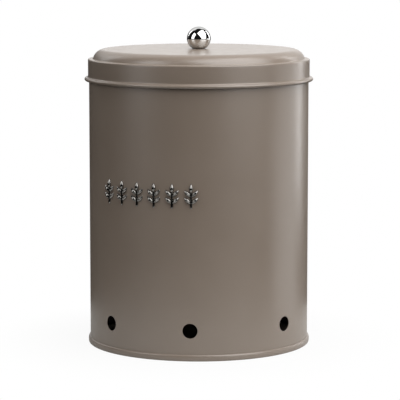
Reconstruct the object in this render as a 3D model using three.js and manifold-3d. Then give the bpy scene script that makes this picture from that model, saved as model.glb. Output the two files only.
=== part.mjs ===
// A metal onion bin: a rolled sheet-steel canister with round air vents near its base, a lift-off
// pressed lid with a ball knob, and a row of six raised chrome leaf sprigs on its front.
// Lengths are in millimetres and angles in degrees. +Z is up, and the origin is on the ground
// under the middle of the bin. The row of sprigs is centred on the front, towards -Y.

import * as THREE from "three";
import { mergeVertices } from "three/addons/utils/BufferGeometryUtils.js";
import Module from "manifold-3d";

const wasm = await Module();
wasm.setup();

// Shared by all sheet-metal pieces
const SHEET = 0.5; // thickness of the steel sheet
const CLEARANCE = 0.3; // left between pieces that touch or slide on each other
const OVERRUN = 2; // how far a cutting tool reaches past what it cuts

// Smoothness of the round forms
const ROUND_SIDES = 56; // sides of each large ring
const SMALL_SIDES = 28; // sides of the knob, screw, washer and vents
const FACET_ERROR = 0.12; // how far a facet of a profile's arc may lie inside its true curve

// Body: the rolled wall, its curled top rim and its bottom hook
const BODY_RADIUS = 92.5; // outside of the wall
const BODY_HEIGHT = 240; // ground to the top of the rim
const RIM_CURL_RADIUS = 1.8; // outside of the inward curl
const RIM_CURL_TURN = 270; // how far the sheet turns in the curl

// Vents: seven round holes, the front pair closer together than the rest
const VENT_RADIUS = 6;
const VENT_HEIGHT = 24.9; // ground to the vent centres
const FRONT_VENT_ANGLE = 23.6; // from the front to each of the front pair
const SIDE_VENT_ANGLE = 78; // from the front to the vent on each side
const BACK_VENTS = 3; // spread evenly behind the side vents

// Base: a recessed disc whose rim is folded round the hook of the wall
const SEAM_HEIGHT = 4.7; // the folded rim, ground to top
const BASE_RECESS = 4; // ground to the underside of the disc
const BASE_CORNER_RADIUS = 0.8; // outside of the bend where the disc turns down
const BASE_RING_RADIUS = 66; // middle of the pressed stiffening ring
const BASE_RING_WIDTH = 5;
const BASE_RING_HEIGHT = 1;

// Lid: a pressed cap with a domed top, a ledge, and a skirt that ends in an outward curled bead
const SKIRT_DEPTH = 18.4; // top of the ledge to the bottom of the bead
const FOLD_RADIUS = 1; // outside of the fold between the ledge and the skirt
const LEDGE_WIDTH = 3.5; // skirt to the middle of the dome's foot fillet
const FOOT_RADIUS = 0.8; // fillet where the dome rises from the ledge
const DOME_LEAN = 19.5; // lean of the dome's wall from upright
const DOME_HEIGHT = 7.9; // ledge to the top of the shoulder
const SHOULDER_RADIUS = 10; // rounding of the dome's shoulder, as far as the dome has room for it
const CROWN = 0.2; // rise of the lid's top from its shoulder to its middle
const FLARE_RADIUS = 2.05; // outside of the hollow curve where the skirt turns out to the bead
const FLARE_TURN = 80;
const BEAD_RADIUS = 1.6; // outside of the curled bead
const BEAD_END_ANGLE = -115; // where the curl stops, seen from the middle of the bead

// Knob: a ball with a flat underside, a screw from inside the lid, and its washer
const BALL_RADIUS = 10;
const BALL_FLAT_RADIUS = 5.6; // of the flat that stands on the lid
const BORE_DEPTH = 9.5; // threaded bore, up from the flat
const SCREW_RADIUS = 2;
const SCREW_REACH = 8.5; // how far the screw's tip goes into the ball
const TIP_CHAMFER = 0.5;
const HEAD_RADIUS = 4;
const HEAD_HEIGHT = 2.6;
const HEAD_ROUND = 1.2; // rounding of the head's lower edge
const CROSS_WIDTH = 1.1; // slots of the cross recess in the head
const CROSS_LENGTH = 4.6;
const CROSS_DEPTH = 1.4;
const WASHER_RADIUS = 6;
const WASHER_THICKNESS = 1;

// Ornaments: six leaf sprigs, each a stem with paired leaves and one at its tip, curved to follow
// the wall
const SPRIGS = 6;
const SPRIG_HEIGHT = 20; // foot of the stem to the tip of the top leaf
const SPRIG_PITCH = 15.7; // one stem to the next, along the wall
const SPRIG_LEVEL = 135.5; // ground to the middle of the row
const LEAF_LENGTH = 8;
const LEAF_WIDTH = 3.3;
const LEAF_RISE = 1.8; // how far the middle of a leaf stands out from its back
const LEAF_SPREAD = 46; // lean of the paired leaves from the stem
const LEAF_PAIRS = 2;
const PAIR_SPACING = 5.8;
const PAIR_FOOT = 3.4; // foot of the stem to the root of the lowest pair
const STEM_WIDTH = 1.9;
const LEAF_STEPS = 6; // facets along a leaf
const LEAF_SIDES = 8; // facets round a leaf and round the stem

// Places that several pieces share
const skirtInside = BODY_RADIUS + CLEARANCE;
const skirtRadius = skirtInside + SHEET;
const ledgeTop = BODY_HEIGHT + CLEARANCE + SHEET;
const lidTop = ledgeTop + DOME_HEIGHT + CROWN;
const lidUnderside = lidTop - SHEET;
const screwHoleRadius = SCREW_RADIUS + CLEARANCE;
const hookFoot = SHEET + CLEARANCE; // underside of the wall's hook, above the base's rim
const discTop = BASE_RECESS + SHEET;

const radians = THREE.MathUtils.degToRad;
const at = (radius, height) => new THREE.Vector2(radius, height);

// Colours and finishes

function paint() {
  return new THREE.MeshStandardMaterial({ color: 0x857a6e, roughness: 0.45, metalness: 0.25 });
}

function chrome() {
  return new THREE.MeshStandardMaterial({ color: 0xdcdad6, roughness: 0.06, metalness: 1 });
}

function smokyChrome() {
  return new THREE.MeshStandardMaterial({ color: 0xb3b1ae, roughness: 0.15, metalness: 1 });
}

function zincSteel() {
  return new THREE.MeshStandardMaterial({ color: 0xb4b6b8, roughness: 0.35, metalness: 1 });
}

// Shapes

// Points along an arc in the profile plane, ends included.
function arc(centre, radius, from, to) {
  const widest = 2 * Math.acos(1 - Math.min(1, FACET_ERROR / radius));
  const sweep = radians(to - from);
  const steps = Math.max(1, Math.ceil(Math.abs(sweep) / widest));
  return Array.from({ length: steps + 1 }, (_, i) => {
    const angle = radians(from) + (sweep * i) / steps;
    return at(centre.x + radius * Math.cos(angle), centre.y + radius * Math.sin(angle));
  });
}

// The section of a sheet whose near face follows the path, with the sheet on the path's left.
function sheetSection(path) {
  const lefts = path.slice(1).map((point, i) => {
    const along = point.clone().sub(path[i]).normalize();
    return at(-along.y, along.x);
  });
  const far = path.map((point, i) => {
    const before = lefts[Math.max(i - 1, 0)];
    const after = lefts[Math.min(i, lefts.length - 1)];
    const mitre = before.clone().add(after).divideScalar(1 + before.dot(after));
    return point.clone().addScaledVector(mitre, SHEET);
  });
  return [...path, ...far.reverse()];
}

// A solid of revolution about Z. A profile off the axis is closed on itself.
function revolve(profile, sides) {
  const onAxis = profile[0].x === 0;
  const outline = onAxis ? profile : [...profile, profile[0]];
  return new THREE.LatheGeometry(outline, sides).rotateX(radians(90));
}

// A cylinder along Z.
function rod(radius, length) {
  return new THREE.CylinderGeometry(radius, radius, length, SMALL_SIDES).rotateX(radians(90));
}

function toSolid(geometry) {
  const bare = geometry.clone();
  bare.deleteAttribute("normal");
  bare.deleteAttribute("uv");
  const merged = mergeVertices(bare);
  return new wasm.Manifold(
    new wasm.Mesh({
      numProp: 3,
      vertProperties: merged.attributes.position.array,
      triVerts: new Uint32Array(merged.index.array),
    }),
  );
}

function toGeometry(solid) {
  const made = solid.getMesh();
  const geometry = new THREE.BufferGeometry();
  geometry.setAttribute("position", new THREE.BufferAttribute(made.vertProperties, 3));
  geometry.setIndex(new THREE.BufferAttribute(made.triVerts, 1));
  geometry.computeVertexNormals();
  return geometry;
}

// The geometry less each of the cutting tools.
function cut(geometry, tools) {
  const left = tools.reduce((solid, tool) => solid.subtract(toSolid(tool)), toSolid(geometry));
  return toGeometry(left);
}

function piece(name, geometry, material) {
  const mesh = new THREE.Mesh(geometry, material);
  mesh.name = name;
  return mesh;
}

// Body

function ventAngles() {
  const behind = (180 - SIDE_VENT_ANGLE) * 2;
  const step = behind / (BACK_VENTS + 1);
  const back = Array.from({ length: BACK_VENTS }, (_, i) => SIDE_VENT_ANGLE + step * (i + 1));
  return [-SIDE_VENT_ANGLE, -FRONT_VENT_ANGLE, FRONT_VENT_ANGLE, SIDE_VENT_ANGLE, ...back];
}

// A punch through the wall, on the front and then turned to its angle.
function ventPunch(angle) {
  const inner = BODY_RADIUS - SHEET - OVERRUN;
  const outer = BODY_RADIUS + OVERRUN;
  const punch = rod(VENT_RADIUS, outer - inner);
  punch.rotateX(radians(90));
  punch.translate(0, -(inner + outer) / 2, VENT_HEIGHT);
  return punch.rotateZ(radians(angle));
}

function bodyShell() {
  const hookTop = SEAM_HEIGHT - SHEET - CLEARANCE;
  const halfGap = CLEARANCE / 2;
  const hookBend = at(BODY_RADIUS + halfGap, hookFoot + SHEET + halfGap);
  const curl = at(BODY_RADIUS - RIM_CURL_RADIUS, BODY_HEIGHT - RIM_CURL_RADIUS);
  const path = [
    at(BODY_RADIUS + CLEARANCE, hookTop),
    ...arc(hookBend, halfGap, 0, -180),
    ...arc(curl, RIM_CURL_RADIUS, 0, RIM_CURL_TURN),
  ];
  const wall = revolve(sheetSection(path), ROUND_SIDES);
  return piece("body_shell", cut(wall, ventAngles().map(ventPunch)), paint());
}

// Base plate: its rim encloses the hook, so its near face runs just outside the wall's sheet.
function basePlate() {
  const rimInside = BODY_RADIUS + CLEARANCE + SHEET + CLEARANCE;
  const neckRadius = BODY_RADIUS - SHEET - CLEARANCE;
  const foldUnder = SEAM_HEIGHT - SHEET;
  const bend = CLEARANCE / 2;
  const corner = at(neckRadius - BASE_CORNER_RADIUS, discTop - BASE_CORNER_RADIUS);
  const halfRing = BASE_RING_WIDTH / 2;
  const path = [
    at(BODY_RADIUS + CLEARANCE, foldUnder),
    ...arc(at(rimInside - bend, foldUnder - bend), bend, 90, 0),
    ...arc(at(rimInside - bend, SHEET + bend), bend, 0, -90),
    ...arc(at(neckRadius + bend, SHEET + bend), bend, 270, 180),
    ...arc(corner, BASE_CORNER_RADIUS, 0, 90),
    at(BASE_RING_RADIUS + halfRing + BASE_RING_HEIGHT, discTop),
    at(BASE_RING_RADIUS + halfRing, discTop + BASE_RING_HEIGHT),
    at(BASE_RING_RADIUS - halfRing, discTop + BASE_RING_HEIGHT),
    at(BASE_RING_RADIUS - halfRing - BASE_RING_HEIGHT, discTop),
    at(0, discTop),
  ];
  return piece("base_plate", revolve(sheetSection(path), ROUND_SIDES), paint());
}

// Lid: the path of its outer face, from the end of the bead up to the screw hole.
function lidShell() {
  const turn = radians(FLARE_TURN);
  const lean = radians(DOME_LEAN);
  const beadHeight = ledgeTop - SKIRT_DEPTH + BEAD_RADIUS;
  const beadOffset = FLARE_RADIUS - (FLARE_RADIUS + BEAD_RADIUS) * Math.cos(turn);
  const bead = at(skirtRadius + beadOffset, beadHeight);
  const flareHeight = beadHeight + (FLARE_RADIUS + BEAD_RADIUS) * Math.sin(turn);
  const flare = at(skirtRadius + FLARE_RADIUS, flareHeight);
  const fold = at(skirtRadius - FOLD_RADIUS, ledgeTop - FOLD_RADIUS);
  const foot = at(skirtRadius - LEDGE_WIDTH, ledgeTop + FOOT_RADIUS);
  const roundest = DOME_HEIGHT / (1 - Math.sin(lean)) - FOOT_RADIUS;
  const rounding = Math.min(SHOULDER_RADIUS, roundest);
  const shoulderHeight = ledgeTop + DOME_HEIGHT - rounding;
  const drop = (foot.y - shoulderHeight) * Math.sin(lean);
  const shoulderInset = (rounding + FOOT_RADIUS - drop) / Math.cos(lean);
  const shoulder = at(foot.x - shoulderInset, shoulderHeight);
  const path = [
    ...arc(bead, BEAD_RADIUS, BEAD_END_ANGLE, FLARE_TURN),
    ...arc(flare, FLARE_RADIUS, 180 + FLARE_TURN, 180).slice(1),
    ...arc(fold, FOLD_RADIUS, 0, 90),
    ...arc(foot, FOOT_RADIUS, 270, 180 + DOME_LEAN),
    ...arc(shoulder, rounding, DOME_LEAN, 90),
    at(screwHoleRadius, lidTop),
  ];
  return piece("lid_shell", revolve(sheetSection(path), ROUND_SIDES), paint());
}

// Knob

function knobBall() {
  const flatHeight = lidTop + CLEARANCE;
  const rise = Math.sqrt(BALL_RADIUS ** 2 - BALL_FLAT_RADIUS ** 2);
  const centre = at(0, flatHeight + rise);
  const flatAngle = -THREE.MathUtils.radToDeg(Math.asin(rise / BALL_RADIUS));
  const outside = arc(centre, BALL_RADIUS, flatAngle, 90).slice(0, -1);
  const boreTop = flatHeight + BORE_DEPTH;
  const profile = [
    at(0, boreTop),
    at(screwHoleRadius, boreTop),
    at(screwHoleRadius, flatHeight),
    ...outside,
    at(0, centre.y + BALL_RADIUS),
  ];
  return piece("knob_ball", revolve(profile, SMALL_SIDES), chrome());
}

function knobWasher() {
  const top = lidUnderside - CLEARANCE;
  const bottom = top - WASHER_THICKNESS;
  const section = [
    at(screwHoleRadius, bottom),
    at(WASHER_RADIUS, bottom),
    at(WASHER_RADIUS, top),
    at(screwHoleRadius, top),
  ];
  return piece("knob_washer", revolve(section, SMALL_SIDES), zincSteel());
}

function knobScrew() {
  const headTop = lidUnderside - CLEARANCE - WASHER_THICKNESS - CLEARANCE;
  const headBottom = headTop - HEAD_HEIGHT;
  const tip = lidTop + CLEARANCE + SCREW_REACH;
  const edge = at(HEAD_RADIUS - HEAD_ROUND, headBottom + HEAD_ROUND);
  const profile = [
    at(0, headBottom),
    ...arc(edge, HEAD_ROUND, -90, 0),
    at(HEAD_RADIUS, headTop),
    at(SCREW_RADIUS, headTop),
    at(SCREW_RADIUS, tip - TIP_CHAMFER),
    at(SCREW_RADIUS - TIP_CHAMFER, tip),
    at(0, tip),
  ];
  const slotHeight = CROSS_DEPTH + OVERRUN;
  const slots = [0, 90].map((angle) => {
    const slot = new THREE.BoxGeometry(CROSS_LENGTH, CROSS_WIDTH, slotHeight);
    slot.translate(0, 0, headBottom + CROSS_DEPTH - slotHeight / 2);
    return slot.rotateZ(radians(angle));
  });
  return piece("knob_screw", cut(revolve(profile, SMALL_SIDES), slots), zincSteel());
}

// Ornaments

// A leaf as a spindle pointed at both ends, its root at height zero.
function leafSpindle() {
  const half = LEAF_WIDTH / 2;
  const edge = Array.from({ length: LEAF_STEPS - 1 }, (_, i) => {
    const share = (i + 1) / LEAF_STEPS;
    return at(half * Math.sin(Math.PI * share), LEAF_LENGTH * share);
  });
  const spindle = revolve([at(0, 0), ...edge, at(0, LEAF_LENGTH)], LEAF_SIDES);
  return spindle.scale(1, LEAF_RISE / half, 1);
}

// The stem as a bar that ends in a point inside the top leaf.
function stemBar() {
  const half = STEM_WIDTH / 2;
  const length = SPRIG_HEIGHT - LEAF_LENGTH / 2;
  const bar = revolve([at(0, 0), at(half, 0), at(half, length - half), at(0, length)], LEAF_SIDES);
  return bar.translate(0, 0, -SPRIG_HEIGHT / 2);
}

function sprigLeaves() {
  const foot = PAIR_FOOT - SPRIG_HEIGHT / 2;
  const paired = Array.from({ length: LEAF_PAIRS }, (_, i) =>
    [-LEAF_SPREAD, LEAF_SPREAD].map((spread) => {
      const leaf = leafSpindle().rotateY(radians(spread));
      return leaf.translate(0, 0, foot + i * PAIR_SPACING);
    }),
  );
  const top = leafSpindle().translate(0, 0, SPRIG_HEIGHT / 2 - LEAF_LENGTH);
  return [...paired.flat(), top];
}

// A flat shape that faces the front, wrapped round the wall so that its back clears it.
function wrapRoundWall(geometry) {
  const back = BODY_RADIUS + CLEARANCE;
  const place = geometry.attributes.position;
  for (let i = 0; i < place.count; i += 1) {
    const angle = place.getX(i) / back;
    const radius = back - place.getY(i);
    place.setXYZ(i, radius * Math.sin(angle), -radius * Math.cos(angle), place.getZ(i));
  }
  geometry.computeVertexNormals();
  return geometry;
}

// One sprig on the front of the wall, with its middle at height zero.
function sprigGeometry() {
  const whole = sprigLeaves().reduce((solid, leaf) => solid.add(toSolid(leaf)), toSolid(stemBar()));
  const depth = LEAF_RISE + OVERRUN;
  const span = SPRIG_HEIGHT + OVERRUN;
  const behind = new THREE.BoxGeometry(span, depth, span).translate(0, depth / 2, 0);
  return wrapRoundWall(toGeometry(whole.subtract(toSolid(behind))));
}

function sprigRow() {
  const row = new THREE.Group();
  const turn = SPRIG_PITCH / (BODY_RADIUS + CLEARANCE);
  for (let i = 0; i < SPRIGS; i += 1) {
    const sprig = piece(`sprig_${i + 1}`, sprigGeometry(), smokyChrome());
    sprig.position.z = SPRIG_LEVEL;
    sprig.rotation.z = (i - (SPRIGS - 1) / 2) * turn;
    row.add(sprig);
  }
  return row;
}

// Assembly

const bin = new THREE.Group();
bin.add(bodyShell(), basePlate(), sprigRow());

const lid = new THREE.Group();
lid.add(lidShell(), knobBall(), knobWasher(), knobScrew());

const onionBin = new THREE.Group();
onionBin.add(bin, lid);

export default onionBin;
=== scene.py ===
import math

import bmesh
import bpy
import numpy as np
from mathutils import Matrix, Vector


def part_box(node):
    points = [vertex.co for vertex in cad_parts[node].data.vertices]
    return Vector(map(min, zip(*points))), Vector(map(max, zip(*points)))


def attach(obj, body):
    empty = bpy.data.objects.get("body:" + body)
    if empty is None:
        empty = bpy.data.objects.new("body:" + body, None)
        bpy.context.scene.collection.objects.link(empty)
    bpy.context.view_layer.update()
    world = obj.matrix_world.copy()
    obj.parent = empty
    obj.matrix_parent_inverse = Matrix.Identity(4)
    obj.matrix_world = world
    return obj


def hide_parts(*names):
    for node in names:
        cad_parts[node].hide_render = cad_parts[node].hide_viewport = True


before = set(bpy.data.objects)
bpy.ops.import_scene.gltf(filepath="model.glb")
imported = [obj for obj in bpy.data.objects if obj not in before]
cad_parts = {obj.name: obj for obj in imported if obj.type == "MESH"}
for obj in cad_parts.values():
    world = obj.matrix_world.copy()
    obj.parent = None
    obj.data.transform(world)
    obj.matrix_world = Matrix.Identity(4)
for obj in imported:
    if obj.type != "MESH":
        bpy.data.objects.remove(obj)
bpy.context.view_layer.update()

MM = 0.001

# Sheet metal
SHEET = 0.5 * MM
CLEARANCE = 0.3 * MM
RING_COLUMNS = 240  # sides of the large rings
SHEET_SHARP = 50  # degrees between two faces from which their edge is sharp
TINY = 1e-7  # a length below this counts as none

# Degrees of arc from point to point of a section
EDGE_STEP = 30
BEND_STEP = 15
CORNER_STEP = 10
BEAD_STEP = 8
ARC_STEP = 6
SEAM_STEP = 4
SHOULDER_STEP = 3.5
BALL_STEP = 3

# Wall
RIM_CURL_RADIUS = 1.8 * MM
RIM_CURL_TURN = 270
VENT_RADIUS = 6.15 * MM
VENT_HEIGHT = 24.9 * MM
VENT_ANGLES = (-78, -23.6, 23.6, 78, 129, 180, 231)
VENT_LIP = 0.15 * MM  # rounding that the paint gives the punched edge
VENT_RING_SHARES = (1, 0.78, 0.56, 0.36, 0.18, 0.06, 0)  # rings from a patch's border to its hole
LIP_STEPS = 4
PATCH_HALF = 8 * MM  # half the square of wall round a vent
PATCH_CELLS = 14
COLUMN_SPACING = 1.6  # degrees between the columns elsewhere
ROW_SPACING = 9 * MM  # also on the base
WELD_ANGLE = 154.5  # the butt weld of the rolled wall, halfway between two rear vents
WELD_HALF = 1.1 * MM
WELD_RISE = 0.12 * MM
WELD_CELLS = 8

# Base
SEAM_HEIGHT = 5.2 * MM  # of the fold that holds the wall's hook
SEAM_TOP_RADIUS = 1.3 * MM  # of the fold's painted outside
SEAM_CROWN_RADIUS = 8 * MM  # how round the fold's outside is from its top to its foot
BASE_RECESS = 4 * MM  # from the ground up to the bottom's underside
BASE_CORNER_RADIUS = 0.8 * MM
BASE_RING_RADIUS = 66 * MM
BASE_RING_WIDTH = 7 * MM  # from foot to foot
BASE_RING_HEIGHT = 1 * MM
BASE_RING_STEPS = 16

# Lid
SKIRT_DEPTH = 18.4 * MM
SKIRT_ROW_SPACING = 2 * MM
FOLD_RADIUS = 1 * MM  # from the skirt to the ledge
LEDGE_WIDTH = 3.5 * MM
FOOT_RADIUS = 0.8 * MM  # from the ledge to the dome's side
DOME_LEAN = 19.5  # of the dome's side from upright
DOME_HEIGHT = 7.9 * MM
SHOULDER_RADIUS = 10 * MM
CROWN = 0.2 * MM  # how far the middle of the top stands above its border
TOP_ROWS = 28
FLARE_RADIUS = 1.05 * MM  # of the hollow curve where the skirt turns out to the bead
FLARE_TURN = 100
BEAD_RADIUS = 1.5 * MM
BEAD_END_ANGLE = -115  # where the curl stops, seen from the bead's middle

# Knob
BALL_RADIUS = 10 * MM
BALL_EDGE = 0.35 * MM  # rounding of the flat's border
BALL_EDGE_STEPS = 6
KNOB_COLUMNS = 144  # sides of the ball and the washer
KNOB_SHARP = 60
BORE_DEPTH = 9.5 * MM
SCREW_RADIUS = 2 * MM
THREAD_DEPTH = 0.38 * MM
THREAD_PITCH = 0.7 * MM
THREAD_ROOT = 0.08  # share of the pitch at the bottom of the thread
THREAD_FLANKS = 0.8  # share of the pitch on its two sides
THREAD_ROWS = 10  # rows in one turn of the thread
SCREW_COLUMNS = 48
SCREW_SHARP = 35
PLAIN_NECK = 0.8 * MM  # unthreaded stretch under the head
TIP_CHAMFER = 0.5 * MM
HEAD_RADIUS = 4 * MM
HEAD_HEIGHT = 2.6 * MM
HEAD_ROUND = 1.2 * MM
CROSS_WIDTH = 1.1 * MM
CROSS_LENGTH = 4.6 * MM
CROSS_DEPTH = 1.4 * MM
CROSS_TAPER_SHARE = 0.55  # length of the recess at its bottom
WASHER_RADIUS = 6 * MM
WASHER_THICKNESS = 1 * MM
WASHER_EDGE = 0.18 * MM

# Sprigs
SPRIGS = 6
SPRIG_HEIGHT = 20 * MM
SPRIG_PITCH = 15.7 * MM  # from sprig to sprig along their backs
SPRIG_LEVEL = 135.5 * MM  # height of their middles
LEAF_LENGTH = 8 * MM
LEAF_WIDTH = 3.3 * MM
LEAF_RISE = 1.8 * MM  # how far a leaf stands out from the sprig's back
LEAF_SPREAD = 46  # of the paired leaves from upright
LEAF_PAIRS = 2
PAIR_SPACING = 5.8 * MM
PAIR_FOOT = 3.4 * MM  # from the sprig's foot up to the roots of its lowest pair
STEM_WIDTH = 1.9 * MM
STEM_FOOT = 0.72  # radius of its foot's flat, as a share of half the stem's width
STEM_CHAMFER = 0.4  # height of the chamfer above it, as such a share
STEM_TOP = 0.8  # radius where it starts to close at its top, as such a share
VEIN_DEPTH = 0.28 * MM
VEIN_SHARE = 0.16  # of the leaf's half width
LEAF_STEPS = 22
LEAF_SIDES = 32
SPRIG_SHARP = 40
GLUE = 0.05 * MM  # film of paint or glue between two pieces that touch
OVERRUN = 2 * MM  # of a cutter past the face that it cuts
CLOSE = 0.002 * MM  # points nearer than this are one

# Finishes: linear colours, roughness from the smoothest to the roughest place
PAINT_DEEP = (0.186, 0.147, 0.116, 1)
PAINT_PALE = (0.199, 0.159, 0.127, 1)
PAINT_ROUGHNESS = (0.31, 0.36)
PAINT_IOR = 1.8
PAINT_GRAIN = 0.5  # how much of the deep colour the specks have at most
ORNAMENT_CHROME = {
    "colours": ((0.23, 0.221, 0.208, 1), (0.29, 0.279, 0.263, 1)),
    "roughness": (0.1, 0.3),
    "ripple": (0.05 * MM, 0.3),
    "edge": (1, 1, 1, 1),
}
BALL_CHROME = {
    "colours": ((0.78, 0.78, 0.77, 1), (0.84, 0.84, 0.83, 1)),
    "roughness": (0.03, 0.05),
    "ripple": (0.01 * MM, 0.3),
    "edge": (0.5, 0.5, 0.5, 1),
}
ZINC_COLOURS = ((0.52, 0.53, 0.55, 1), (0.66, 0.66, 0.64, 1))
ZINC_ROUGHNESS = (0.28, 0.42)
WHITE = (1, 1, 1, 1)

# Bumps: depth and strength, as in each chrome's ripple
PULL_BUMP = (0.25 * MM, 0.5)
PEEL_BUMP = (0.01 * MM, 0.3)
SCRATCH_BUMP = (0.01 * MM, 0.3)

# Noises: size of the patches, detail and, where it isn't plain, roughness
CLOUD = (38 * MM, 2)
SPECK = (0.9 * MM, 1)
WEAR = (6 * MM, 3)
PEEL = (1.3 * MM, 2, 0.55)
PULL = (55 * MM, 1)
SMEAR = (4 * MM, 4, 0.6)
RIPPLE = (5 * MM, 1)
BLOOM = (1.4 * MM, 3, 0.6)
SCRATCH = (0.35 * MM, 2)

# Parts of the range of a noise, which is about 0.25 to 0.75
NOISE_WIDE = (0.3, 0.7)
NOISE_NARROW = (0.35, 0.65)
NOISE_PEAKS = (0.3, 0.75)
NOISE_TOPS = (0.4, 0.75)

# Sockets of a Mix node that have colours: its two inputs and its output
COLOUR_A, COLOUR_B, COLOUR_OUT = 6, 7, 2

# Camera, as solved from the photograph
CAMERA_AZIMUTH = 28.06
CAMERA_PITCH = 7.5
CAMERA_DISTANCE = 1835.4 * MM
CAMERA_AIM_HEIGHT = 120.4 * MM
CAMERA_AIM_RIGHT = 1.0 * MM
CAMERA_LENS = 194.4
CAMERA_CLIP = (0.1, 20)
SENSOR_WIDTH = 36

# Studio: directions are an azimuth to the right of the camera's and an elevation
TABLE_RADIUS = 0.26
TABLE_HOLE = 85 * MM  # a round hole under the bin lets light to its underside
TABLE_FORWARD = 0.05
TABLE_SIDES = 96
TABLE_COLOUR = (0.55, 0.55, 0.54, 1)
TABLE_FADE = (0.1, 0.2)  # distances from the axis between which the table fades to white
TABLE_WHITE = 0.93  # share of plain white under the bin, the rest shows its shadow
SOFTBOXES = {
    # name: where it stands and how far from the knob, where its back points, width and height,
    # radiance
    "right_softbox": ((45.6, 27.9), 0.9, (53.7, 55.9), (1.02, 1.42), 3.3),
    "left_softbox": ((-54.7, 22.4), 0.9, (-90, 26), (0.51, 0.79), 2.55),
    "right_strip": ((125, 18), 1.1, (125, 0), (0.1, 1.2), 8.1),
    "left_strip": ((-125, 28), 1.1, (-125, 0), (0.1, 0.7), 3.2),
    "low_softbox": ((100, -13), 1.1, (100, -13), (0.7, 0.5), 1.15),
    "top_fill": ((60, 85), 1.1, (60, 85), (1, 1), 2.35),
    "under_softbox": ((0, -90), 1.1, (0, -90), (0.6, 0.6), 2.5),
}
MATTE_LAMPS = ("top_fill",)  # lamps that mirrors don't show
ROOM = 0.01  # what mirrors see of the room
AMBIENT = 0.06  # what lights matte faces from all round

# A pale backdrop behind the bin: its levels, and the angles over which they change
BACKDROP_TURN = 10  # degrees that its middle stands left of straight behind the bin
BACKDROP_SIDES = (44, 56)  # off its middle
BACKDROP_FOOT = (-2, 3)
BACKDROP_TOP = (60, 70)
BACKDROP_HIGH = 0.92
BACKDROP_STEP = (12, 20)  # between its low and its high part
BACKDROP_LOW = 1.55  # in the middle of its low part
BACKDROP_LOW_LEFT = 0.12
BACKDROP_LOW_RIGHT = 0.8
LEFT_STEP = (-11, -3)  # between the left and the middle of its low part
RIGHT_STEP = (8, 20)

# Places that several pieces share, from the frame
wall_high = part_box("body_shell")[1]
ball_low, ball_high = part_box("knob_ball")
BODY_RADIUS = wall_high.x - SHEET - CLEARANCE
LID_TOP = ball_low.z - CLEARANCE
LEDGE_TOP = LID_TOP - CROWN - DOME_HEIGHT
BODY_HEIGHT = LEDGE_TOP - SHEET - CLEARANCE
SKIRT_RADIUS = BODY_RADIUS + CLEARANCE + SHEET
SCREW_HOLE_RADIUS = SCREW_RADIUS + CLEARANCE
LID_UNDERSIDE = LID_TOP - SHEET


# Sections and meshes

def arc(centre, radius, start, end, step=ARC_STEP):
    """Points along an arc in the section plane, ends included."""
    count = max(2, math.ceil(abs(end - start) / step))
    turns = [math.radians(start + (end - start) * i / count) for i in range(count + 1)]
    return [(centre[0] + radius * math.cos(t), centre[1] + radius * math.sin(t)) for t in turns]


def between(low, high, spacing):
    """Numbers from low up to high, both left out, about spacing apart."""
    count = max(1, round(abs(high - low) / spacing))
    return [low + (high - low) * i / count for i in range(1, count)]


def sheet_section(path):
    """The closed section of a sheet whose near face follows the path, with the sheet on its left."""
    points = np.array(path)
    along = np.diff(points, axis=0)
    along /= np.linalg.norm(along, axis=1)[:, None]
    lefts = np.stack([-along[:, 1], along[:, 0]], axis=1)
    before = np.vstack([lefts[:1], lefts])
    after = np.vstack([lefts, lefts[-1:]])
    mitres = (before + after) / (1 + (before * after).sum(axis=1))[:, None]
    far = points + mitres * SHEET
    return path + [tuple(point) for point in far[::-1]]


def even_turn(columns):
    """The turns, in radians, of that many columns spread evenly."""
    return [math.tau * i / columns for i in range(columns)]


def spin(outline, turns, shape=None, skip=()):
    """Vertices, faces and the vertex numbers by row and column of a section turned about Z.
    shape gives the radius of a point from its row, radius, height and turn; the cells in skip stay
    open."""
    vertices = []
    rows = []
    for row, (radius, height) in enumerate(outline):
        start = len(vertices)
        if radius < TINY:
            vertices.append((0, 0, height))
            rows.append([start] * len(turns))
            continue
        for turn in turns:
            reach = shape(row, radius, height, turn) if shape else radius
            vertices.append((reach * math.sin(turn), -reach * math.cos(turn), height))
        rows.append(list(range(start, start + len(turns))))
    faces = []
    for row, low in enumerate(rows):
        high = rows[(row + 1) % len(rows)]
        for column, corner in enumerate(low):
            beside = (column + 1) % len(turns)
            loop = [corner, low[beside], high[beside], high[column]]
            loop = list(dict.fromkeys(loop))
            if len(loop) > 2 and (row, column) not in skip:
                faces.append(loop)
    return vertices, faces, rows


def bridge(outer, inner):
    """Faces between two rings of as many vertices."""
    count = len(outer)
    return [[outer[i], outer[(i + 1) % count], inner[(i + 1) % count], inner[i]] for i in range(count)]


def add_mesh(name, vertices, faces):
    """A new object with that mesh, without the vertices that no face uses."""
    mesh = bpy.data.meshes.new(name)
    mesh.from_pydata(vertices, [], faces)
    tidy = bmesh.new()
    tidy.from_mesh(mesh)
    loose = [vertex for vertex in tidy.verts if not vertex.link_faces]
    bmesh.ops.delete(tidy, geom=loose, context="VERTS")
    tidy.to_mesh(mesh)
    tidy.free()
    piece = bpy.data.objects.new(name, mesh)
    bpy.context.scene.collection.objects.link(piece)
    return piece


def dress(piece, material, sharp_angle, body, slot, *nodes):
    """Shading, finish and place in the frame of a finished piece."""
    mesh = piece.data
    mesh.polygons.foreach_set("use_smooth", [True] * len(mesh.polygons))
    mesh.set_sharp_from_angle(angle=math.radians(sharp_angle))
    mesh.materials.clear()
    mesh.materials.append(material)
    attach(piece, body)
    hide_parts(*nodes)


# Wall of the bin

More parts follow.
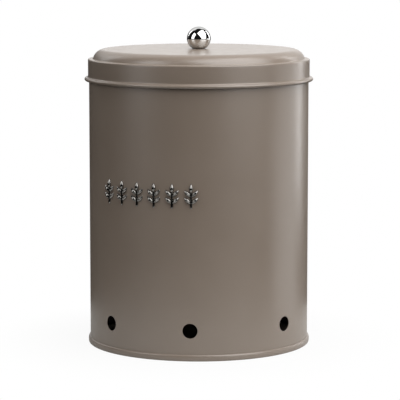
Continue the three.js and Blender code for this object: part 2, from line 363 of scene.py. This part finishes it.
def wall_turns():
    """The columns round the wall, with an even patch at each vent and at the weld, and the first
    column of each patch."""
    half_vent = math.degrees(math.asin(PATCH_HALF / BODY_RADIUS))
    half_weld = math.degrees(WELD_HALF / BODY_RADIUS)
    patches = [(angle, half_vent, PATCH_CELLS) for angle in VENT_ANGLES]
    patches = sorted(patches + [(WELD_ANGLE, half_weld, WELD_CELLS)])
    following = patches[1:] + [(patches[0][0] + 360, patches[0][1], patches[0][2])]
    turns = []
    firsts = {}
    for (angle, half, cells), (next_angle, next_half, _) in zip(patches, following):
        firsts[angle] = len(turns)
        turns += [angle + half * (2 * i / cells - 1) for i in range(cells + 1)]
        turns += between(angle + half, next_angle - next_half, COLUMN_SPACING)
    return [math.radians(turn) for turn in turns], firsts


def wall_path():
    """The near face of the wall's sheet, from the end of its hook up to the end of its curled rim,
    with the number of the path's point where the vents' patches start."""
    half_gap = CLEARANCE / 2
    hook_top = SEAM_HEIGHT - SEAM_TOP_RADIUS - CLEARANCE
    hook_bend = (BODY_RADIUS + half_gap, SHEET + CLEARANCE + SHEET + half_gap)
    curl = (BODY_RADIUS - RIM_CURL_RADIUS, BODY_HEIGHT - RIM_CURL_RADIUS)
    low = VENT_HEIGHT - PATCH_HALF
    high = VENT_HEIGHT + PATCH_HALF
    path = [(BODY_RADIUS + CLEARANCE, hook_top)]
    path += arc(hook_bend, half_gap, 0, -180, EDGE_STEP)
    path += [(BODY_RADIUS, z) for z in between(hook_bend[1], low, ROW_SPACING)]
    first = len(path)
    path += [(BODY_RADIUS, low + (high - low) * i / PATCH_CELLS) for i in range(PATCH_CELLS + 1)]
    path += [(BODY_RADIUS, z) for z in between(high, curl[1], ROW_SPACING)]
    path += arc(curl, RIM_CURL_RADIUS, 0, RIM_CURL_TURN)
    return path, first


def weld_swell(last_row):
    """A shape for spin that raises the weld on the wall's outer face."""
    middle = math.radians(WELD_ANGLE)

    def swell(row, radius, height, turn):
        aside = abs(turn - middle) * BODY_RADIUS / WELD_HALF
        on_wall = row <= last_row and abs(radius - BODY_RADIUS) < TINY and height > SEAM_HEIGHT
        if aside >= 1 or not on_wall:
            return radius
        return radius + WELD_RISE * (0.5 + 0.5 * math.cos(math.pi * aside))

    return swell


def patch_border(rows, first_row, row_step, first_column):
    """Vertex numbers round a patch, anticlockwise seen from outside, from its lower left corner."""
    ends = range(PATCH_CELLS)

    def at(up, along):
        return rows[first_row + row_step * up][first_column + along]

    below = [at(0, i) for i in ends]
    right = [at(i, PATCH_CELLS) for i in ends]
    above = [at(PATCH_CELLS, PATCH_CELLS - i) for i in ends]
    left = [at(PATCH_CELLS - i, 0) for i in ends]
    return below + right + above + left


def vent_rings():
    """The rings between a patch's outer and inner borders: the share of the way from the hole out to
    the border, the hole's radius there, and the depth under the wall's outer face."""
    wide = VENT_RADIUS + VENT_LIP
    flat = [(share, wide, 0) for share in VENT_RING_SHARES[1:]]
    lip = []
    for i in range(1, LIP_STEPS + 1):
        turn = math.pi / 2 * i / LIP_STEPS
        lip.append((0, wide - VENT_LIP * math.sin(turn), VENT_LIP * (1 - math.cos(turn))))
    outer = flat + lip
    inner = [(share, radius, SHEET - depth) for share, radius, depth in reversed(outer)]
    return outer + inner


def add_vent(vertices, faces, outer_border, inner_border, angle):
    """The wall round one vent, from the border of its patch outside to the one inside."""
    middle = math.radians(angle)
    spokes = []
    for number in outer_border:
        x, y, z = vertices[number]
        turn = math.atan2(x, -y) - middle
        spokes.append((BODY_RADIUS * math.sin(turn), z - VENT_HEIGHT))
    before = outer_border
    for share, hole, depth in vent_rings():
        reach = BODY_RADIUS - depth
        ring = []
        for across, up in spokes:
            length = math.hypot(across, up)
            scale = share + (1 - share) * hole / length
            turn = middle + math.asin(across * scale / reach)
            ring.append(len(vertices))
            vertices.append((reach * math.sin(turn), -reach * math.cos(turn), VENT_HEIGHT + up * scale))
        faces += bridge(before, ring)
        before = ring
    faces += bridge(before, inner_border)


def wall_sheet(material):
    path, first_row = wall_path()
    outline = sheet_section(path)
    turns, firsts = wall_turns()
    last_row = len(outline) - 1
    cells = range(PATCH_CELLS)
    skip = set()
    for angle in VENT_ANGLES:
        for up in cells:
            for along in cells:
                column = firsts[angle] + along
                skip.add((first_row + up, column))
                skip.add((last_row - first_row - up - 1, column))
    vertices, faces, rows = spin(outline, turns, weld_swell(len(path)), skip)
    for angle in VENT_ANGLES:
        outer = patch_border(rows, first_row, 1, firsts[angle])
        inner = patch_border(rows, last_row - first_row, -1, firsts[angle])
        add_vent(vertices, faces, outer, inner, angle)
    piece = add_mesh("wall_sheet", vertices, faces)
    dress(piece, material, SHEET_SHARP, "bin", "paint", "body_shell")


# Base of the bin

def base_ring_path(level):
    """The pressed stiffening ring, from its outer foot in to its inner foot."""
    outer = BASE_RING_RADIUS + BASE_RING_WIDTH / 2
    points = []
    for i in range(BASE_RING_STEPS + 1):
        share = i / BASE_RING_STEPS
        rise = BASE_RING_HEIGHT * (0.5 - 0.5 * math.cos(math.tau * share))
        points.append((outer - BASE_RING_WIDTH * share, level + rise))
    return points


def base_path():
    """The near face of the base's sheet, from the lip of its fold on the wall, down round the fold's
    crowned outside, in under the wall's hook and along the recessed bottom to the axis."""
    rim_inside = BODY_RADIUS + CLEARANCE + SHEET + CLEARANCE
    neck = BODY_RADIUS - SHEET - CLEARANCE
    fold_under = SEAM_HEIGHT - SHEET
    bend = CLEARANCE / 2
    top_bend = SEAM_TOP_RADIUS - SHEET
    top = BASE_RECESS + SHEET
    corner = (neck - BASE_CORNER_RADIUS, top - BASE_CORNER_RADIUS)
    crown = SEAM_CROWN_RADIUS - SHEET
    low = SHEET + bend
    high = fold_under - top_bend
    middle = (low + high) / 2
    top_turn = math.asin((high - middle) / (crown - top_bend))
    low_turn = math.asin((middle - low) / (crown - bend))
    axis = rim_inside - crown
    top_centre = (axis + (crown - top_bend) * math.cos(top_turn), high)
    low_centre = (axis + (crown - bend) * math.cos(low_turn), low)
    top_angle = math.degrees(top_turn)
    low_angle = -math.degrees(low_turn)
    path = [(BODY_RADIUS + GLUE, fold_under)]
    path += arc(top_centre, top_bend, 90, top_angle, CORNER_STEP)
    path += arc((axis, middle), crown, top_angle, low_angle, SEAM_STEP)[1:]
    path += arc(low_centre, bend, low_angle, -90, BEND_STEP)[1:]
    path += arc((neck + bend, SHEET + bend), bend, 270, 180, BEND_STEP)
    path += arc(corner, BASE_CORNER_RADIUS, 0, 90, CORNER_STEP)
    path += base_ring_path(top)
    inner_foot = BASE_RING_RADIUS - BASE_RING_WIDTH / 2
    path += [(radius, top) for radius in between(inner_foot, 0, ROW_SPACING)]
    return path + [(0, top)]


def base_pressing(material):
    vertices, faces, _ = spin(sheet_section(base_path()), even_turn(RING_COLUMNS))
    piece = add_mesh("base_pressing", vertices, faces)
    dress(piece, material, SHEET_SHARP, "bin", "paint", "base_plate")


# Lid

def lid_path():
    """The outer face of the lid, from the end of its bead up to the screw hole."""
    turn = math.radians(FLARE_TURN)
    lean = math.radians(DOME_LEAN)
    bead_height = LEDGE_TOP - SKIRT_DEPTH + BEAD_RADIUS
    bead_offset = FLARE_RADIUS - (FLARE_RADIUS + BEAD_RADIUS) * math.cos(turn)
    bead = (SKIRT_RADIUS + bead_offset, bead_height)
    flare_height = bead_height + (FLARE_RADIUS + BEAD_RADIUS) * math.sin(turn)
    flare = (SKIRT_RADIUS + FLARE_RADIUS, flare_height)
    fold = (SKIRT_RADIUS - FOLD_RADIUS, LEDGE_TOP - FOLD_RADIUS)
    foot = (SKIRT_RADIUS - LEDGE_WIDTH, LEDGE_TOP + FOOT_RADIUS)
    shoulder_height = LEDGE_TOP + DOME_HEIGHT - SHOULDER_RADIUS
    drop = (foot[1] - shoulder_height) * math.sin(lean)
    inset = (SHOULDER_RADIUS + FOOT_RADIUS - drop) / math.cos(lean)
    shoulder = (foot[0] - inset, shoulder_height)
    path = arc(bead, BEAD_RADIUS, BEAD_END_ANGLE, FLARE_TURN, BEAD_STEP)
    path += arc(flare, FLARE_RADIUS, 180 + FLARE_TURN, 180, BEAD_STEP)[1:]
    path += [(SKIRT_RADIUS, z) for z in between(flare_height, fold[1], SKIRT_ROW_SPACING)]
    path += arc(fold, FOLD_RADIUS, 0, 90)
    path += arc(foot, FOOT_RADIUS, 270, 180 + DOME_LEAN, BEAD_STEP)
    path += arc(shoulder, SHOULDER_RADIUS, DOME_LEAN, 90, SHOULDER_STEP)
    for i in range(1, TOP_ROWS + 1):
        radius = shoulder[0] + (SCREW_HOLE_RADIUS - shoulder[0]) * i / TOP_ROWS
        path.append((radius, LID_TOP - CROWN * (radius / shoulder[0]) ** 2))
    return path


def lid_pressing(material):
    vertices, faces, _ = spin(sheet_section(lid_path()), even_turn(RING_COLUMNS))
    piece = add_mesh("lid_pressing", vertices, faces)
    dress(piece, material, SHEET_SHARP, "lid", "paint", "lid_shell")


# Knob

def corner_bend(start, corner, end):
    """Points of a soft corner, ends included."""
    points = []
    for i in range(BALL_EDGE_STEPS + 1):
        share = i / BALL_EDGE_STEPS
        weights = ((1 - share) ** 2, 2 * share * (1 - share), share ** 2)
        points.append(tuple(np.dot(weights, np.array([start, corner, end]))))
    return points


def knob_ball(material):
    flat = LID_TOP + CLEARANCE
    centre = ball_high.z - BALL_RADIUS
    flat_radius = math.sqrt(BALL_RADIUS ** 2 - (centre - flat) ** 2)
    flat_angle = math.degrees(math.asin((flat - centre) / BALL_RADIUS))
    edge_angle = flat_angle + math.degrees(BALL_EDGE / BALL_RADIUS)
    round_side = arc((0, centre), BALL_RADIUS, edge_angle, 90, BALL_STEP)[:-1]
    outline = [(0, flat + BORE_DEPTH), (SCREW_HOLE_RADIUS, flat + BORE_DEPTH)]
    outline += [(SCREW_HOLE_RADIUS, flat)]
    outline += corner_bend((flat_radius - BALL_EDGE, flat), (flat_radius, flat), round_side[0])
    outline += round_side[1:] + [(0, ball_high.z)]
    vertices, faces, _ = spin(outline, even_turn(KNOB_COLUMNS))
    piece = add_mesh("knob_mirror_ball", vertices, faces)
    dress(piece, material, KNOB_SHARP, "lid", "knob_chrome", "knob_ball")


def knob_washer(material):
    top = LID_UNDERSIDE - CLEARANCE
    bottom = top - WASHER_THICKNESS
    inside = SCREW_HOLE_RADIUS
    outside = WASHER_RADIUS
    edge = WASHER_EDGE
    outline = arc((inside + edge, bottom + edge), edge, 180, 270, EDGE_STEP)
    outline += arc((outside - edge, bottom + edge), edge, 270, 360, EDGE_STEP)
    outline += arc((outside - edge, top - edge), edge, 0, 90, EDGE_STEP)
    outline += arc((inside + edge, top - edge), edge, 90, 180, EDGE_STEP)
    vertices, faces, _ = spin(outline, even_turn(KNOB_COLUMNS))
    piece = add_mesh("knob_flat_washer", vertices, faces)
    dress(piece, material, KNOB_SHARP, "lid", "zinc_steel", "knob_washer")


def thread_shape(first_row, last_row):
    """A shape for spin that cuts a helical thread between two rows of the screw's section."""
    def shape(row, radius, height, turn):
        if not first_row < row < last_row:
            return radius
        phase = (height / THREAD_PITCH - turn / math.tau) % 1
        wave = abs(2 * phase - 1)
        crest = min(1, max(0, (wave - THREAD_ROOT) / THREAD_FLANKS))
        return radius - THREAD_DEPTH * (1 - crest)

    return shape


def cross_cutter(level, angle):
    """One tapered bar of the cross recess in the screw's head, pointing up from below."""
    bottom = level - OVERRUN
    top = level + CROSS_DEPTH
    corners = ((-1, -1), (1, -1), (1, 1), (-1, 1))
    vertices = []
    for height, share in ((bottom, 1.0), (level, 1.0), (top, CROSS_TAPER_SHARE)):
        for along, across in corners:
            x = along * CROSS_LENGTH / 2 * share
            y = across * CROSS_WIDTH / 2
            vertices.append((x, y, height))
    faces = [[3, 2, 1, 0], [8, 9, 10, 11]]
    for low in (0, 4):
        faces += bridge(list(range(low, low + 4)), list(range(low + 4, low + 8)))
    cutter = add_mesh("cross_cutter", vertices, faces)
    cutter.data.transform(Matrix.Rotation(math.radians(angle), 4, "Z"))
    return cutter


def combine(piece, others, operation):
    """Joins the other objects to the piece or cuts them from it, and removes them."""
    for other in others:
        change = piece.modifiers.new(operation.title(), "BOOLEAN")
        change.operation = operation
        change.solver = "EXACT"
        change.object = other
    bpy.context.view_layer.update()
    whole = piece.evaluated_get(bpy.context.evaluated_depsgraph_get())
    mesh = bpy.data.meshes.new_from_object(whole)
    piece.modifiers.clear()
    piece.data = mesh
    for other in others:
        bpy.data.objects.remove(other)
    return piece


def knob_screw(material):
    head_top = LID_UNDERSIDE - CLEARANCE - WASHER_THICKNESS - CLEARANCE
    head_bottom = head_top - HEAD_HEIGHT
    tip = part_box("knob_screw")[1].z
    tip_radius = SCREW_RADIUS - THREAD_DEPTH
    round_edge = (HEAD_RADIUS - HEAD_ROUND, head_bottom + HEAD_ROUND)
    outline = [(0, head_bottom)]
    outline += arc(round_edge, HEAD_ROUND, -90, 0, CORNER_STEP)
    outline += [(HEAD_RADIUS, head_top), (SCREW_RADIUS, head_top)]
    outline += [(SCREW_RADIUS, head_top + PLAIN_NECK)]
    first_row = len(outline) - 1
    thread = between(head_top + PLAIN_NECK, tip - TIP_CHAMFER, THREAD_PITCH / THREAD_ROWS)
    outline += [(SCREW_RADIUS, z) for z in thread]
    last_row = len(outline)
    outline += [(tip_radius, tip - TIP_CHAMFER), (tip_radius - TIP_CHAMFER, tip), (0, tip)]
    shape = thread_shape(first_row, last_row)
    vertices, faces, _ = spin(outline, even_turn(SCREW_COLUMNS), shape)
    piece = add_mesh("knob_pan_screw", vertices, faces)
    combine(piece, [cross_cutter(head_bottom, angle) for angle in (0, 90)], "DIFFERENCE")
    dress(piece, material, SCREW_SHARP, "lid", "zinc_steel", "knob_screw")


# Sprigs, made flat with their backs in the plane y = 0 and their faces towards -Y

def leaf(root, lean):
    """A leaf with a sunk vein, its root at that height and its tip leaning from upright."""
    half = LEAF_WIDTH / 2
    vertices = [(0, 0, 0)]
    for i in range(1, LEAF_STEPS):
        share = i / LEAF_STEPS
        swell = math.sin(math.pi * share)
        for side in range(LEAF_SIDES):
            turn = math.tau * side / LEAF_SIDES
            across = math.cos(turn)
            out = math.sin(turn) * LEAF_RISE * swell
            vein = VEIN_DEPTH * swell * math.exp(-((across / VEIN_SHARE) ** 2))
            y = -(out - vein) if out > 0 else -out
            vertices.append((half * swell * across, y, LEAF_LENGTH * share))
    vertices.append((0, 0, LEAF_LENGTH))
    last = len(vertices) - 1
    rings = [list(range(1 + i * LEAF_SIDES, 1 + (i + 1) * LEAF_SIDES)) for i in range(LEAF_STEPS - 1)]
    faces = []
    for low, high in zip(rings, rings[1:]):
        faces += bridge(low, high)
    for i in range(LEAF_SIDES):
        beside = (i + 1) % LEAF_SIDES
        faces.append([rings[0][beside], rings[0][i], 0])
        faces.append([rings[-1][i], rings[-1][beside], last])
    turn = math.radians(lean)
    along = math.cos(turn)
    aside = math.sin(turn)
    placed = [(x * along + z * aside, y, z * along - x * aside + root) for x, y, z in vertices]
    return add_mesh("leaf", placed, faces)


def stem():
    """A round bar from the sprig's foot to inside its top leaf."""
    half = STEM_WIDTH / 2
    foot = -SPRIG_HEIGHT / 2
    top = SPRIG_HEIGHT / 2 - LEAF_LENGTH / 2
    chamfer_top = foot + half * STEM_CHAMFER
    outline = [(0, foot), (half * STEM_FOOT, foot), (half, chamfer_top)]
    outline += [(half, z) for z in between(chamfer_top, top - 2 * half, half)]
    outline += [(half * STEM_TOP, top - half), (0, top)]
    vertices, faces, _ = spin(outline, even_turn(LEAF_SIDES))
    return add_mesh("stem", vertices, faces)


def back_block():
    """What lies behind the plane of the sprigs' backs."""
    far = SPRIG_HEIGHT
    vertices = [(x, y, z) for z in (-far, far) for y in (0, far) for x in (-far, far)]
    faces = [[0, 2, 3, 1], [4, 5, 7, 6], [0, 1, 5, 4], [1, 3, 7, 5], [3, 2, 6, 7], [2, 0, 4, 6]]
    return add_mesh("back_block", vertices, faces)


def join_close_points(mesh):
    """Joins the points that a cut leaves almost on each other, so that the mesh is closed."""
    tidy = bmesh.new()
    tidy.from_mesh(mesh)
    bmesh.ops.remove_doubles(tidy, verts=tidy.verts, dist=CLOSE)
    bmesh.ops.dissolve_degenerate(tidy, edges=tidy.edges, dist=CLOSE)
    tidy.to_mesh(mesh)
    tidy.free()


def flat_sprig():
    """A stem with a leaf on top and pairs of leaves up its sides, cut flat at the back."""
    foot = PAIR_FOOT - SPRIG_HEIGHT / 2
    leaves = [leaf(SPRIG_HEIGHT / 2 - LEAF_LENGTH, 0)]
    for pair in range(LEAF_PAIRS):
        for lean in (-LEAF_SPREAD, LEAF_SPREAD):
            leaves.append(leaf(foot + pair * PAIR_SPACING, lean))
    whole = combine(stem(), leaves, "UNION")
    whole = combine(whole, [back_block()], "DIFFERENCE")
    join_close_points(whole.data)
    return whole


def leaf_sprigs(material):
    """The row of sprigs, each a copy of the flat one wrapped round the wall."""
    pattern = flat_sprig()
    back = BODY_RADIUS + CLEARANCE
    for number in range(SPRIGS):
        middle = (number - (SPRIGS - 1) / 2) * SPRIG_PITCH / back
        mesh = pattern.data.copy()
        for vertex in mesh.vertices:
            x, y, z = vertex.co
            turn = middle + x / back
            reach = back - y if y < -TINY else BODY_RADIUS + GLUE
            vertex.co = (reach * math.sin(turn), -reach * math.cos(turn), SPRIG_LEVEL + z)
        piece = bpy.data.objects.new(f"leaf_sprig_{number + 1}", mesh)
        bpy.context.scene.collection.objects.link(piece)
        dress(piece, material, SPRIG_SHARP, "bin", "chrome", f"sprig_{number + 1}")
    bpy.data.objects.remove(pattern)


# Materials

class Nodes:
    """The node tree of a material or world, with short calls that add and link nodes."""

    def __init__(self, owner):
        owner.use_nodes = True
        self.tree = owner.node_tree
        self.tree.nodes.clear()

    def add(self, kind, inputs=None, **settings):
        node = self.tree.nodes.new(kind)
        for name, value in settings.items():
            setattr(node, name, value)
        for name, value in (inputs or {}).items():
            self.set(node.inputs[name], value)
        return node

    def set(self, socket, value):
        if isinstance(value, bpy.types.NodeSocket):
            self.tree.links.new(value, socket)
        else:
            socket.default_value = value

    def math(self, operation, first, second=0.0, third=0.0):
        node = self.add("ShaderNodeMath", operation=operation)
        for socket, value in zip(node.inputs, (first, second, third)):
            self.set(socket, value)
        return node.outputs[0]

    def noise(self, size, detail, roughness=0.5):
        """Noise whose patches are about that large, in metres."""
        inputs = {"Vector": self.place(), "Scale": 1 / size, "Detail": detail, "Roughness": roughness}
        return self.add("ShaderNodeTexNoise", inputs).outputs["Fac"]

    def place(self):
        return self.add("ShaderNodeTexCoord").outputs["Object"]

    def span(self, value, from_range, to_range, smooth=False):
        """A value carried from one range to another, and held at its ends."""
        inputs = {"Value": value, "From Min": from_range[0], "From Max": from_range[1]}
        inputs.update({"To Min": to_range[0], "To Max": to_range[1]})
        kind = "SMOOTHSTEP" if smooth else "LINEAR"
        return self.add("ShaderNodeMapRange", inputs, interpolation_type=kind).outputs["Result"]

    def mix_colour(self, share, first, second):
        node = self.add("ShaderNodeMix", {"Factor": share}, data_type="RGBA")
        self.set(node.inputs[COLOUR_A], first)
        self.set(node.inputs[COLOUR_B], second)
        return node.outputs[COLOUR_OUT]

    def mix_shader(self, share, first, second):
        node = self.add("ShaderNodeMixShader", {"Fac": share})
        self.set(node.inputs[1], first)
        self.set(node.inputs[2], second)
        return node.outputs["Shader"]

    def bump(self, height, distance, strength, normal=None):
        inputs = {"Height": height, "Distance": distance, "Strength": strength}
        if normal:
            inputs["Normal"] = normal
        return self.add("ShaderNodeBump", inputs).outputs["Normal"]

    def finish(self, shader):
        output = self.add("ShaderNodeOutputMaterial")
        self.tree.links.new(shader, output.inputs["Surface"])


def powder_coat():
    """Satin warm-taupe powder coat: faint mottling, fine orange peel and a slight pull of the sheet."""
    material = bpy.data.materials.new("powder_coat")
    nodes = Nodes(material)
    cloud = nodes.span(nodes.noise(*CLOUD), NOISE_WIDE, (0, 1))
    colour = nodes.mix_colour(cloud, PAINT_DEEP, PAINT_PALE)
    grain = nodes.span(nodes.noise(*SPECK), NOISE_PEAKS, (0, PAINT_GRAIN))
    pulled = nodes.bump(nodes.noise(*PULL), *PULL_BUMP)
    inputs = {
        "Base Color": nodes.mix_colour(grain, colour, PAINT_DEEP),
        "Roughness": nodes.span(nodes.noise(*WEAR), NOISE_WIDE, PAINT_ROUGHNESS),
        "Normal": nodes.bump(nodes.noise(*PEEL), *PEEL_BUMP, pulled),
        "IOR": PAINT_IOR,
    }
    nodes.finish(nodes.add("ShaderNodeBsdfPrincipled", inputs).outputs["BSDF"])
    return material


def chrome(name, colours, roughness, ripple, edge):
    """Polished chrome between two close tones, with faint smears and a very slight ripple. The edge is
    the tint that chrome takes where it is seen at a slant."""
    material = bpy.data.materials.new(name)
    nodes = Nodes(material)
    smear = nodes.noise(*SMEAR)
    inputs = {
        "Base Color": nodes.mix_colour(nodes.span(smear, NOISE_NARROW, (0, 1)), *colours),
        "Metallic": 1.0,
        "Roughness": nodes.span(smear, NOISE_TOPS, roughness),
        "Normal": nodes.bump(nodes.noise(*RIPPLE), *ripple),
        "Specular Tint": edge,
    }
    nodes.finish(nodes.add("ShaderNodeBsdfPrincipled", inputs).outputs["BSDF"])
    return material


def zinc_plate():
    """Zinc-plated steel with a crystalline bloom and fine scratches."""
    material = bpy.data.materials.new("zinc_plate")
    nodes = Nodes(material)
    bloom = nodes.noise(*BLOOM)
    inputs = {
        "Base Color": nodes.mix_colour(nodes.span(bloom, NOISE_NARROW, (0, 1)), *ZINC_COLOURS),
        "Metallic": 1.0,
        "Roughness": nodes.span(bloom, NOISE_WIDE, ZINC_ROUGHNESS),
        "Normal": nodes.bump(nodes.noise(*SCRATCH), *SCRATCH_BUMP),
    }
    nodes.finish(nodes.add("ShaderNodeBsdfPrincipled", inputs).outputs["BSDF"])
    return material


# Studio

def studio_direction(azimuth, elevation):
    """The unit vector that points there from the bin."""
    turn = math.radians(CAMERA_AZIMUTH + azimuth)
    lift = math.radians(elevation)
    return Vector((math.sin(turn) * math.cos(lift), -math.cos(turn) * math.cos(lift), math.sin(lift)))


def softbox(name, place, distance, back, size, radiance):
    """An area lamp that stands in the direction place from the knob and has its back to back."""
    lamp = bpy.data.lights.new(name, "AREA")
    lamp.shape = "RECTANGLE"
    lamp.size, lamp.size_y = size
    lamp.energy = radiance * math.pi * size[0] * size[1]
    holder = bpy.data.objects.new(name, lamp)
    bpy.context.scene.collection.objects.link(holder)
    knob = Vector((0, 0, LID_TOP + BALL_RADIUS))
    holder.location = knob + studio_direction(*place) * distance
    holder.rotation_mode = "QUATERNION"
    holder.rotation_quaternion = (-studio_direction(*back)).to_track_quat("-Z", "Y")
    holder.visible_camera = False
    holder.visible_glossy = name not in MATTE_LAMPS


def studio_world():
    """White to the camera. Mirrors see the backdrop in a dark room, and matte faces get its light and a
    dim one from all round."""
    world = bpy.data.worlds.new("studio")
    bpy.context.scene.world = world
    nodes = Nodes(world)

    def fade(value, angles, before, after):
        """A level that turns softly from before to after between two angles in degrees."""
        limits = [math.radians(angle) for angle in angles]
        return nodes.span(value, limits, (before, after), smooth=True)

    inputs = {
        "Vector": nodes.add("ShaderNodeTexCoord").outputs["Generated"],
        "Axis": (0, 0, 1),
        "Angle": math.radians(-CAMERA_AZIMUTH),
    }
    turned = nodes.add("ShaderNodeVectorRotate", inputs, rotation_type="AXIS_ANGLE").outputs["Vector"]
    parts = nodes.add("ShaderNodeSeparateXYZ", {"Vector": turned}).outputs
    elevation = nodes.math("ARCSINE", parts["Z"])
    azimuth = nodes.math("ARCTAN2", parts["X"], parts["Y"])  # 0 straight behind the bin
    off_middle = nodes.math("ABSOLUTE", nodes.math("ADD", azimuth, math.radians(BACKDROP_TURN)))
    across = fade(off_middle, BACKDROP_SIDES, 1, 0)
    above = fade(elevation, BACKDROP_FOOT, 0, 1)
    below_top = fade(elevation, BACKDROP_TOP, 1, 0)
    backdrop = nodes.math("MULTIPLY", across, nodes.math("MULTIPLY", above, below_top))
    low = fade(azimuth, LEFT_STEP, BACKDROP_LOW_LEFT, BACKDROP_LOW)
    low = fade(azimuth, RIGHT_STEP, low, BACKDROP_LOW_RIGHT)
    brightness = fade(elevation, BACKDROP_STEP, low, BACKDROP_HIGH)
    seen = nodes.math("MULTIPLY_ADD", backdrop, brightness, ROOM)
    ambient = nodes.math("MULTIPLY_ADD", backdrop, brightness, AMBIENT)
    path = nodes.add("ShaderNodeLightPath").outputs
    mirrored = nodes.math("MAXIMUM", path["Is Glossy Ray"], path["Is Transmission Ray"])
    inputs = {"Factor": mirrored, "A": ambient, "B": seen}
    unseen = nodes.add("ShaderNodeMix", inputs).outputs["Result"]
    inputs = {"Factor": path["Is Camera Ray"], "A": unseen, "B": 1.0}
    level = nodes.add("ShaderNodeMix", inputs).outputs["Result"]
    background = nodes.add("ShaderNodeBackground", {"Color": WHITE, "Strength": level})
    output = nodes.add("ShaderNodeOutputWorld")
    nodes.tree.links.new(background.outputs["Background"], output.inputs["Surface"])


def white_table():
    """Pale matte that is as white as the background to the camera, but for the bin's shadow, and clear
    when it is seen from below."""
    material = bpy.data.materials.new("white_table")
    nodes = Nodes(material)
    place = nodes.add("ShaderNodeSeparateXYZ", {"Vector": nodes.place()}).outputs
    squares = [nodes.math("MULTIPLY", place[axis], place[axis]) for axis in ("X", "Y")]
    reach = nodes.math("SQRT", nodes.math("ADD", *squares))
    fade = nodes.span(reach, TABLE_FADE, (TABLE_WHITE, 1), smooth=True)
    diffuse = nodes.add("ShaderNodeBsdfDiffuse", {"Color": TABLE_COLOUR}).outputs["BSDF"]
    glow = nodes.add("ShaderNodeEmission", {"Color": WHITE, "Strength": 1.0}).outputs["Emission"]
    to_camera = nodes.add("ShaderNodeLightPath").outputs["Is Camera Ray"]
    above = nodes.mix_shader(nodes.math("MULTIPLY", to_camera, fade), diffuse, glow)
    below = nodes.add("ShaderNodeBsdfTransparent").outputs["BSDF"]
    underside = nodes.add("ShaderNodeNewGeometry").outputs["Backfacing"]
    nodes.finish(nodes.mix_shader(underside, above, below))
    return material


def table_top():
    """A round table under the bin, a little towards the camera."""
    middle = studio_direction(0, 0) * TABLE_FORWARD
    rays = [Vector((math.sin(turn), -math.cos(turn), 0)) for turn in even_turn(TABLE_SIDES)]
    vertices = [middle + ray * TABLE_RADIUS for ray in rays] + [ray * TABLE_HOLE for ray in rays]
    faces = bridge(range(TABLE_SIDES), range(TABLE_SIDES, 2 * TABLE_SIDES))
    table = add_mesh("table_top", vertices, faces)
    table.data.materials.append(white_table())


def camera():
    lens = bpy.data.cameras.new("camera")
    lens.lens = CAMERA_LENS
    lens.sensor_width = SENSOR_WIDTH
    lens.clip_start, lens.clip_end = CAMERA_CLIP
    holder = bpy.data.objects.new("camera", lens)
    bpy.context.scene.collection.objects.link(holder)
    back = studio_direction(0, CAMERA_PITCH)
    right = studio_direction(90, 0)
    aim = Vector((0, 0, CAMERA_AIM_HEIGHT)) + right * CAMERA_AIM_RIGHT
    holder.location = aim + back * CAMERA_DISTANCE
    holder.rotation_mode = "QUATERNION"
    holder.rotation_quaternion = (-back).to_track_quat("-Z", "Y")
    bpy.context.scene.camera = holder


def build():
    camera()
    paint = powder_coat()
    ornament_chrome = chrome("ornament_chrome", **ORNAMENT_CHROME)
    ball_chrome = chrome("ball_chrome", **BALL_CHROME)
    zinc = zinc_plate()
    wall_sheet(paint)
    base_pressing(paint)
    leaf_sprigs(ornament_chrome)
    lid_pressing(paint)
    knob_ball(ball_chrome)
    knob_washer(zinc)
    knob_screw(zinc)
    table_top()
    studio_world()
    for name, settings in SOFTBOXES.items():
        softbox(name, *settings)
    bpy.context.scene.view_settings.view_transform = "Standard"


build()
